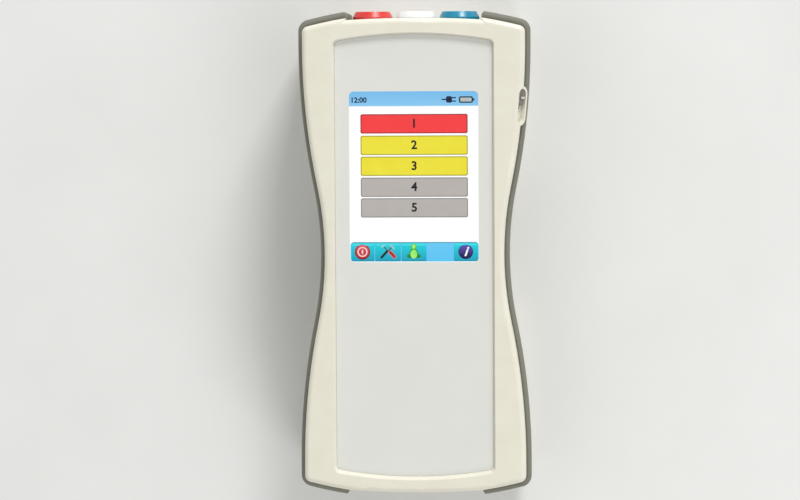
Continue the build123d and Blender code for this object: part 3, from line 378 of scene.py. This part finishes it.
def metal(name, color, deep, rough, lines=(1, 1, 1), depth=0.004):
    """Stained metal, with drawn lines where its axes are stretched unevenly."""
    made = Finish(name)
    drawn = made.noise(0.25, 4, made.stretch(*lines), 0.7)
    shade = made.mix(made.span(made.noise(5.0), 0, 1), deep, color)
    shade = made.mix(made.span(drawn, 0, 0.35), shade, deep)
    gloss = made.span(drawn, rough - 0.08, rough + 0.1)
    made.join(shade, made.shader.inputs["Base Color"])
    made.join(gloss, made.shader.inputs["Roughness"])
    made.join(made.bump(drawn, depth), made.shader.inputs["Normal"])
    made.set(Metallic=1.0)
    return made.material


def glass(name, color, deep, alpha, rough):
    """Clear sheet with faint smudges in its gloss."""
    made = Finish(name)
    smudge = made.noise(14.0, 5, roughness=0.65)
    gloss = made.span(smudge, rough, rough + 0.14, 0.45, 0.7)
    shade = made.mix(made.span(made.noise(20.0), 0, 1), tint(*color), tint(*deep))
    made.join(gloss, made.shader.inputs["Roughness"])
    made.join(shade, made.shader.inputs["Base Color"])
    made.join(made.bump(made.noise(30.0, 2), 0.003, 0.4), made.shader.inputs["Normal"])
    made.set(Alpha=alpha)
    return made.material


def laminate(name, color, trace, rough):
    """Lacquered circuit board: tracks under the lacquer, weave in its surface."""
    made = Finish(name)
    track = made.node("ShaderNodeTexBrick")
    track.inputs["Scale"].default_value = 1 / (6.5 * MM)
    track.inputs["Mortar Size"].default_value = 0.03
    track.inputs["Brick Width"].default_value = 1.4
    track.inputs["Row Height"].default_value = 0.16
    made.join(made.coords, track.inputs["Vector"])
    lacquer = tint(*color)
    shaded = tuple(v * 0.75 for v in lacquer[:3]) + (1,)
    plain = made.mix(made.span(made.noise(8.0), 0, 1), shaded, lacquer)
    on = made.span(made.noise(11.0, 1), 0, 1, 0.45, 0.5)
    lines = made.math("MULTIPLY", track.outputs["Fac"], on)
    gloss = made.span(made.noise(2.0, 4), rough - 0.05, rough + 0.12)
    made.join(made.mix(lines, plain, tint(*trace)), made.shader.inputs["Base Color"])
    made.join(gloss, made.shader.inputs["Roughness"])
    raised = made.bump(lines, 0.03)
    made.join(made.bump(made.noise(0.5, 2), 0.01, 1.0, raised), made.shader.inputs["Normal"])
    made.set(Coat_Weight=0.3, Coat_Roughness=0.2)
    return made.material


def ring_plastic(name, color, deep, glow):
    """Glossy, slightly translucent moulded ring, with a painted highlight lightening its edges."""
    made = Finish(name)
    shade = made.mix(made.span(made.noise(3.5), 0, 1), tint(*deep), tint(*color))
    # Painted highlight: the edges mix toward the light colour
    light = made.math("MULTIPLY", made.edges(0.5), made.span(made.noise(1.2, 3), 0.25, 0.7))
    made.join(made.mix(light, shade, tint(*glow)), made.shader.inputs["Base Color"])
    made.join(made.span(made.noise(1.5, 4), 0.24, 0.4), made.shader.inputs["Roughness"])
    made.join(made.bump(made.noise(0.8, 3), 0.008), made.shader.inputs["Normal"])
    made.set(Coat_Weight=0.25, Coat_Roughness=0.4, Subsurface_Weight=0.35, Subsurface_Scale=0.003)
    made.shader.inputs["Subsurface Radius"].default_value = (1.0, 0.6, 0.6)
    return made.material


def lit(name, low_color, high_color, low=None, high=None, strength=1.0):
    """A lit part of the screen: its colour climbs between two heights in millimetres, or is mottled."""
    made = Finish(name)
    if low is None:
        climb = made.span(made.noise(6.0), 0, 1)
    else:
        split = made.node("ShaderNodeSeparateXYZ")
        made.join(made.coords, split.inputs["Vector"])
        climb = made.span(split.outputs["Y"], 0, 1, low * MM, high * MM)
    shade = made.mix(climb, tint(*low_color), tint(*high_color))
    dots = made.node("ShaderNodeTexChecker")
    dots.inputs["Scale"].default_value = 1 / (0.23 * MM)
    made.join(made.coords, dots.inputs["Vector"])
    fine = made.span(dots.outputs["Fac"], 0.0, 0.035, 0, 1)
    made.join(made.mix(fine, shade, (0, 0, 0, 1)), made.shader.inputs["Emission Color"])
    made.join(made.span(made.noise(1.0, 2), 0.32, 0.38), made.shader.inputs["Roughness"])
    made.set(
        Base_Color=(0.012, 0.012, 0.014, 1), Emission_Strength=strength, Specular_IOR_Level=0.2,
    )
    return made.material


finishes = {
    "touch_glass": glass("touch_glass", (70, 74, 78), (90, 94, 98), 0.05, 0.06),
    "circuit_green": laminate("circuit_green", (32, 116, 72), (52, 146, 92), 0.3),
}
for recipe, table in ((plastic, PLASTICS), (ring_plastic, RINGS), (metal, METALS)):
    for name, values in table.items():
        finishes[name] = recipe(name, **values)

for part in frame["record"]["subparts"]:
    mesh = nodes[part["node"]].data
    mesh.materials.clear()
    mesh.materials.append(finishes[part["material_slot"]])


# Screen


def rounded(left, low, right, high, radius, steps=5):
    """Outline of a rounded rectangle."""
    points = []
    for x, y, start in (
        (right - radius, low + radius, -90),
        (right - radius, high - radius, 0),
        (left + radius, high - radius, 90),
        (left + radius, low + radius, 180),
    ):
        for i in range(steps + 1):
            turn = radians(start + 90 * i / steps)
            points.append((x + radius * cos(turn), y + radius * sin(turn)))
    return points


def oval(x, y, across, along, steps=28):
    """Outline of an upright oval."""
    turns = [2 * pi * i / steps for i in range(steps)]
    return [(x + across * cos(turn), y + along * sin(turn)) for turn in turns]


def disc(x, y, radius, steps=40):
    """Outline of a circle."""
    return oval(x, y, radius, radius, steps)


def grown(box, by):
    """A box with its sides moved out, or in by a negative distance."""
    left, low, right, high = box
    return left - by, low - by, right + by, high + by


def turned(points, x, y, angle):
    """Points turned about the origin, then moved."""
    c, s = cos(radians(angle)), sin(radians(angle))
    return [(x + c * a - s * b, y + s * a + c * b) for a, b in points]


def strip(x0, y0, x1, y1, width, radius=None):
    """Outline of a rounded strip along a line."""
    length = ((x1 - x0) ** 2 + (y1 - y0) ** 2) ** 0.5
    angle = degrees(atan2(y1 - y0, x1 - x0))
    lying = rounded(0, -width / 2, length, width / 2, radius or width / 2.2)
    return turned(lying, x0, y0, angle)


def finished(made, name):
    """The mesh of a bmesh that is complete, and is then freed."""
    mesh = bpy.data.meshes.new(name)
    made.to_mesh(mesh)
    made.free()
    return mesh


def place(mesh, name, material, body="case"):
    """A piece made from a mesh, on a body, with its finish."""
    piece = bpy.data.objects.new(name, mesh)
    scene.collection.objects.link(piece)
    mesh.materials.clear()
    mesh.materials.append(material)
    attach(piece, body)
    return piece


def prism(name, shapes, layer, material, layers=1):
    """Closed prisms on the screen; a shape is an outline, or a pair of an outer and an inner one."""
    low = (SCREEN_Z + layer * LAYER) * MM
    high = (SCREEN_Z + (layer + layers) * LAYER) * MM
    made = bmesh.new()
    for shape in shapes:
        loops = shape if isinstance(shape, tuple) else (shape,)
        rings = []
        for z in (low, high):
            rings.append(
                [[made.verts.new((x * MM, y * MM, z)) for x, y in loop] for loop in loops]
            )
        for k, loop in enumerate(loops):
            count = len(loop)
            for i in range(count):
                j = (i + 1) % count
                side = (rings[0][k][i], rings[0][k][j], rings[1][k][j], rings[1][k][i])
                made.faces.new(side if k == 0 else side[::-1])
        for level in (0, 1):
            if len(loops) == 1:
                face = rings[level][0]
                made.faces.new(face if level else face[::-1])
            else:
                outer, inner = rings[level]
                count = len(outer)
                for i in range(count):
                    j = (i + 1) % count
                    face = (outer[i], outer[j], inner[j], inner[i])
                    made.faces.new(face if level else face[::-1])
    bmesh.ops.recalc_face_normals(made, faces=made.faces)
    return place(finished(made, name), name, material)


def words(name, texts, layer, material, shear=0.0, weight=0.0):
    """Raised characters on the screen: text, size, middle; weight thickens their strokes."""
    made = bmesh.new()
    for text, size, x, y in texts:
        curve = bpy.data.curves.new(name, "FONT")
        curve.body = text
        curve.size = size * MM
        curve.extrude = LAYER * MM / 2
        curve.resolution_u = 3
        curve.shear = shear
        curve.offset = weight * MM
        curve.align_x = "CENTER"
        curve.align_y = "CENTER"
        holder = bpy.data.objects.new(name, curve)
        scene.collection.objects.link(holder)
        holder.location = (x * MM, y * MM, (SCREEN_Z + (layer + 0.5) * LAYER) * MM)
        bpy.context.view_layer.update()
        graph = bpy.context.evaluated_depsgraph_get()
        mesh = bpy.data.meshes.new_from_object(holder.evaluated_get(graph))
        mesh.transform(holder.matrix_world)
        made.from_mesh(mesh)
        bpy.data.objects.remove(holder)
        bpy.data.meshes.remove(mesh)
    bmesh.ops.remove_doubles(made, verts=made.verts, dist=1e-7)
    bmesh.ops.recalc_face_normals(made, faces=made.faces)
    return place(finished(made, name), name, material)


window = (-WINDOW_HALF, WINDOW_LOW, WINDOW_HALF, WINDOW_HIGH)
white = lit("lit_white", (253, 254, 255), (255, 255, 255), strength=1.12)
ink = lit("lit_ink", (16, 12, 14), (24, 18, 20))
navy = lit("lit_navy", (10, 24, 56), (20, 38, 74))
prism(
    "screen_ground", [rounded(-GROUND_HALF, GROUND_LOW, GROUND_HALF, GROUND_HIGH, 0.8)],
    1 - GROUND_LAYERS, white, GROUND_LAYERS,
)
surround = tuple(
    rounded(*grown(window, by), WINDOW_RADIUS + by) for by in (SURROUND_REACH, SURROUND_GAP)
)
prism(
    "screen_surround", [surround], 1,
    plastic("surround_white", (226, 227, 224), (220, 221, 218), 0.5, grain=0.2, depth=0.004),
    SURROUND_LAYERS,
)
prism(
    "screen_status_bar", [rounded(-STATUS_HALF, STATUS_LOW, STATUS_HALF, STATUS_HIGH, 0.3)], 1,
    lit("lit_status", (138, 206, 250), (124, 196, 246), STATUS_LOW, WINDOW_HIGH),
)
prism(
    "screen_status_line",
    [rounded(-STATUS_HALF, STATUS_LOW - STATUS_LINE, STATUS_HALF, STATUS_LOW, 0.05)],
    1, lit("lit_status_line", (190, 228, 250), (200, 234, 252)),
)
prism(
    "screen_toolbar_edge",
    [
        rounded(
            -TOOLBAR_HALF - TOOLBAR_EDGE, TOOLBAR_LOW - TOOLBAR_EDGE,
            TOOLBAR_HALF + TOOLBAR_EDGE, TOOLBAR_HIGH + 0.1, 1.5,
        )
    ],
    1, lit("lit_toolbar_edge", (132, 226, 240), (0, 140, 164), 4.2, 5.2),
)
prism(
    "screen_toolbar",
    [rounded(-TOOLBAR_HALF, TOOLBAR_LOW, TOOLBAR_HALF, TOOLBAR_HIGH - 0.3, 1.4)],
    2, lit("lit_toolbar", (92, 202, 254), (104, 208, 255), TOOLBAR_LOW, TOOLBAR_HIGH),
)

# Buttons in the middle of the screen
for label, deep, light, border, rows in BAR_COLORS:
    outlines = []
    fills = []
    for row in rows:
        box = (BAR_LEFT, BAR_TOPS[row] - BAR_HEIGHT, BAR_RIGHT, BAR_TOPS[row])
        inner = rounded(*grown(box, -BAR_BORDER), BAR_RADIUS - BAR_BORDER / 2)
        outlines.append((rounded(*box, BAR_RADIUS), inner))
        fills.append(rounded(*grown(box, -BAR_FILL_INSET), BAR_RADIUS - 0.1))
    border_light = tuple(v + 10 for v in border)
    prism(f"screen_{label}_bars", fills, 1, lit(f"lit_{label}", deep, light))
    prism(
        f"screen_{label}_borders", outlines, 2, lit(f"lit_{label}_border", border, border_light),
    )
bar_middle = (BAR_LEFT + BAR_RIGHT) / 2
words(
    "screen_numerals",
    [
        (str(i + 1), NUMERAL_SIZE, bar_middle, top - BAR_HEIGHT / 2)
        for i, top in enumerate(BAR_TOPS)
    ],
    2, ink, weight=0.15,
)

# Status bar: time, plug and battery
words("screen_time", [("12:00", CLOCK_SIZE, CLOCK_X, CLOCK_Y)], 2, navy, weight=0.1)
prism(
    "screen_plug_sign",
    [
        rounded(11.7, 65.05, 14.0, 65.6, 0.2),
        rounded(13.6, 63.95, 16.1, 66.7, 0.7),
        rounded(15.8, 65.8, 17.8, 66.3, 0.15),
        rounded(15.8, 64.35, 17.8, 64.85, 0.15),
    ],
    2, navy,
)
prism(
    "screen_battery_sign",
    [
        (rounded(19.0, 63.85, 24.9, 66.6, 0.7), rounded(CHARGE_LEFT, 64.4, 24.3, 66.05, 0.25)),
        rounded(24.85, 64.75, 25.5, 65.7, 0.25),
    ],
    2, lit("lit_battery", (20, 38, 34), (34, 54, 48)),
)
charge_lefts = [CHARGE_LEFT + CHARGE_PITCH * i for i in range(CHARGE_CELLS)]
prism(
    "screen_battery_charge",
    [rounded(left, 64.4, left + CHARGE_WIDTH, 66.05, 0.15) for left in charge_lefts],
    2, lit("lit_charge", (188, 190, 182), (206, 204, 198)),
)

# Toolbar buttons and their signs
button_spans = [(BUTTON_EDGES[i], BUTTON_EDGES[i + 1]) for i in (0, 1, 2, 4)]
prism(
    "screen_buttons",
    [
        rounded(a + BUTTON_GAP, TOOLBAR_LOW + 0.05, b - BUTTON_GAP, TOOLBAR_HIGH - 0.35, 0.5)
        for a, b in button_spans
    ],
    3, lit("lit_cyan", (0, 164, 194), (0, 222, 234), TOOLBAR_LOW, TOOLBAR_HIGH),
)
prism(
    "screen_button_shine",
    [rounded(a + 0.6, SHINE_LOW, b - 0.6, TOOLBAR_HIGH - 0.65, 0.35) for a, b in button_spans],
    4, lit("lit_shine", (30, 214, 230), (90, 240, 248), SHINE_LOW, 4.6),
)
prism(
    "screen_button_feet",
    [
        rounded(a + 0.4, TOOLBAR_LOW + 0.1, b - 0.4, TOOLBAR_LOW + 0.45, 0.15)
        for a, b in button_spans
    ],
    4, lit("lit_button_foot", (0, 128, 158), (0, 142, 170)),
)
prism(
    "screen_power_rim", [disc(POWER_X, SIGN_Y, 3.3)], 4,
    lit("lit_power_rim", (96, 14, 18), (176, 44, 52), SIGN_Y - 3, SIGN_Y + 3),
)
prism(
    "screen_power_disc", [disc(POWER_X, SIGN_Y, 2.85)], 5,
    lit("lit_power", (196, 20, 32), (230, 74, 84), SIGN_Y - 2.6, SIGN_Y + 2.6),
)
prism(
    "screen_power_sign",
    [
        (disc(POWER_X, SIGN_Y, 2.15), disc(POWER_X, SIGN_Y, 1.6)),
        oval(POWER_X, SIGN_Y, 0.36, 1.05),
    ],
    6, lit("lit_power_sign", (250, 206, 208), (255, 232, 232)),
)
prism(
    "screen_tool_shafts",
    [
        strip(TOOLS_X - 0.1, SIGN_Y + 0.1, TOOLS_X + 1.7, SIGN_Y + 2.2, 0.6),
        strip(TOOLS_X + 0.2, SIGN_Y, TOOLS_X - 1.8, SIGN_Y + 2.1, 0.55),
    ],
    5, lit("lit_tool_steel", (78, 84, 92), (112, 120, 128)),
)
prism(
    "screen_tool_heads",
    [
        strip(TOOLS_X + 0.8, SIGN_Y + 2.9, TOOLS_X + 2.7, SIGN_Y + 1.3, 0.85, 0.2),
        strip(TOOLS_X - 2.9, SIGN_Y + 2.0, TOOLS_X - 1.3, SIGN_Y + 2.9, 0.6),
    ],
    6, lit("lit_tool_head", (150, 196, 206), (196, 226, 232)),
)
prism(
    "screen_tool_handle_black",
    [strip(TOOLS_X - 3.1, SIGN_Y - 2.7, TOOLS_X - 0.2, SIGN_Y + 0.5, 1.0)], 6, ink,
)
prism(
    "screen_tool_handle_edge",
    [strip(TOOLS_X + 0.4, SIGN_Y + 0.3, TOOLS_X + 3.2, SIGN_Y - 2.6, 1.6)],
    6, lit("lit_tool_edge", (214, 110, 112), (230, 140, 140)),
)
prism(
    "screen_tool_handle_red",
    [strip(TOOLS_X + 0.6, SIGN_Y + 0.1, TOOLS_X + 3.0, SIGN_Y - 2.4, 1.1)],
    7, lit("lit_tool_red", (172, 14, 24), (202, 34, 40)),
)
half_person = (
    (0.75, 1.35), (1.3, 0.9), (1.7, 0.1), (1.9, -0.8), (2.85, -1.5), (2.9, -2.1), (2.2, -2.6),
)
person = [(PERSON_X + x, SIGN_Y + y) for x, y in half_person]
person += [(PERSON_X - x, SIGN_Y + y) for x, y in reversed(half_person)]
prism(
    "screen_person_shade", [person], 4,
    lit("lit_person_shade", (4, 128, 16), (40, 172, 40), SIGN_Y - 2.6, SIGN_Y + 1.4),
)
prism(
    "screen_person_head", [disc(PERSON_X, SIGN_Y + 2.1, 1.3, 28)], 5,
    lit("lit_person", (60, 186, 30), (110, 222, 70), SIGN_Y + 0.8, SIGN_Y + 3.4),
)
prism(
    "screen_person_light",
    [oval(PERSON_X, SIGN_Y - 1.0, 1.45, 1.85), oval(PERSON_X, SIGN_Y + 2.2, 0.65, 0.9)],
    6, lit("lit_person_light", (132, 244, 96), (186, 250, 130)),
)
prism(
    "screen_info_rim", [disc(INFO_X, SIGN_Y, 3.15)], 4,
    lit("lit_info_rim", (8, 4, 62), (70, 70, 150), SIGN_Y - 3, SIGN_Y + 3),
)
prism(
    "screen_info_disc", [disc(INFO_X, SIGN_Y, 2.85)], 5,
    lit("lit_info", (14, 6, 88), (92, 84, 184), SIGN_Y - 1.6, SIGN_Y + 3),
)
words("screen_info_sign", [("i", 5.6, INFO_X - 0.1, SIGN_Y)], 6, white, 0.35, weight=0.14)

# Painted highlight on the rib of the power slider: a thin light-coloured sheet laid on the rib
turn = asin(WELL_INSET / FLANK_RADIUS)
lean = radians(WELL_LEAN)
along = Vector((sin(turn), cos(turn), 0))
outward = Vector((cos(turn) * cos(lean), -sin(turn) * cos(lean), sin(lean)))
sideways = outward.cross(along)
rib_top = WELL_START + along * RIB_ALONG + outward * RIB_OUTWARD
made = bmesh.new()
bmesh.ops.create_cube(made, size=1)
for vert in made.verts:
    a, b, c = vert.co
    lift = outward * (c + 0.5) * HIGHLIGHT_THICKNESS
    vert.co = (rib_top + along * a * HIGHLIGHT_LENGTH + sideways * b * HIGHLIGHT_WIDTH + lift) * MM
rib_highlight = plastic(
    "rib_highlight", (214, 210, 200), (200, 196, 186), 0.45, grain=0.2, depth=0.008, mottle=2.0,
)
place(finished(made, "slider_rib_highlight"), "slider_rib_highlight", rib_highlight, "slider")

# Floor
made = bmesh.new()
bmesh.ops.create_grid(
    made, x_segments=FLOOR_SQUARES, y_segments=FLOOR_SQUARES, size=FLOOR_HALF,
)
floor = bpy.data.objects.new("floor", finished(made, "floor"))
scene.collection.objects.link(floor)
ground = Finish("floor_paper")
paper = ground.mix(
    ground.span(ground.noise(60.0, 4), 0, 1), tint(228, 228, 226), tint(232, 232, 230),
)
ground.join(paper, ground.shader.inputs["Base Color"])
ground.set(Roughness=0.9, Specular_IOR_Level=0.1)
floor.data.materials.append(ground.material)

# Camera
back = Vector((tan(radians(LEAN_X)), tan(radians(LEAN_Y)), 1.0)).normalized()
right = (-back).cross(Vector((0, 1, 0))).normalized()
up = right.cross(-back)
roll = radians(ROLL)
across = right * cos(roll) + up * sin(roll)
upward = up * cos(roll) - right * sin(roll)
view = Matrix((across, upward, back)).transposed().to_4x4()
view.translation = TARGET + back * DISTANCE
lens = bpy.data.cameras.new("camera")
lens.sensor_width = SENSOR
lens.sensor_fit = "HORIZONTAL"
lens.lens = SENSOR * DISTANCE / (PICTURE_WIDTH * PIXEL_MM * MM)
lens.clip_end = CLIP_END
camera = bpy.data.objects.new("camera", lens)
camera.matrix_world = view
scene.collection.objects.link(camera)
scene.camera = camera

# Light
for name, spot, size, power in LAMPS:
    light = bpy.data.lights.new(name, "AREA")
    light.shape = "SQUARE"
    light.size = size
    light.energy = power
    holder = bpy.data.objects.new(name, light)
    holder.location = spot
    holder.rotation_euler = Vector(spot).to_track_quat("Z", "Y").to_euler()
    scene.collection.objects.link(holder)
world = bpy.data.worlds.new("studio")
world.use_nodes = True
room = world.node_tree.nodes["Background"]
room.inputs["Color"].default_value = (1.0, 1.0, 0.99, 1)
room.inputs["Strength"].default_value = ROOM_LIGHT
scene.world = world
scene.view_settings.view_transform = "Standard"
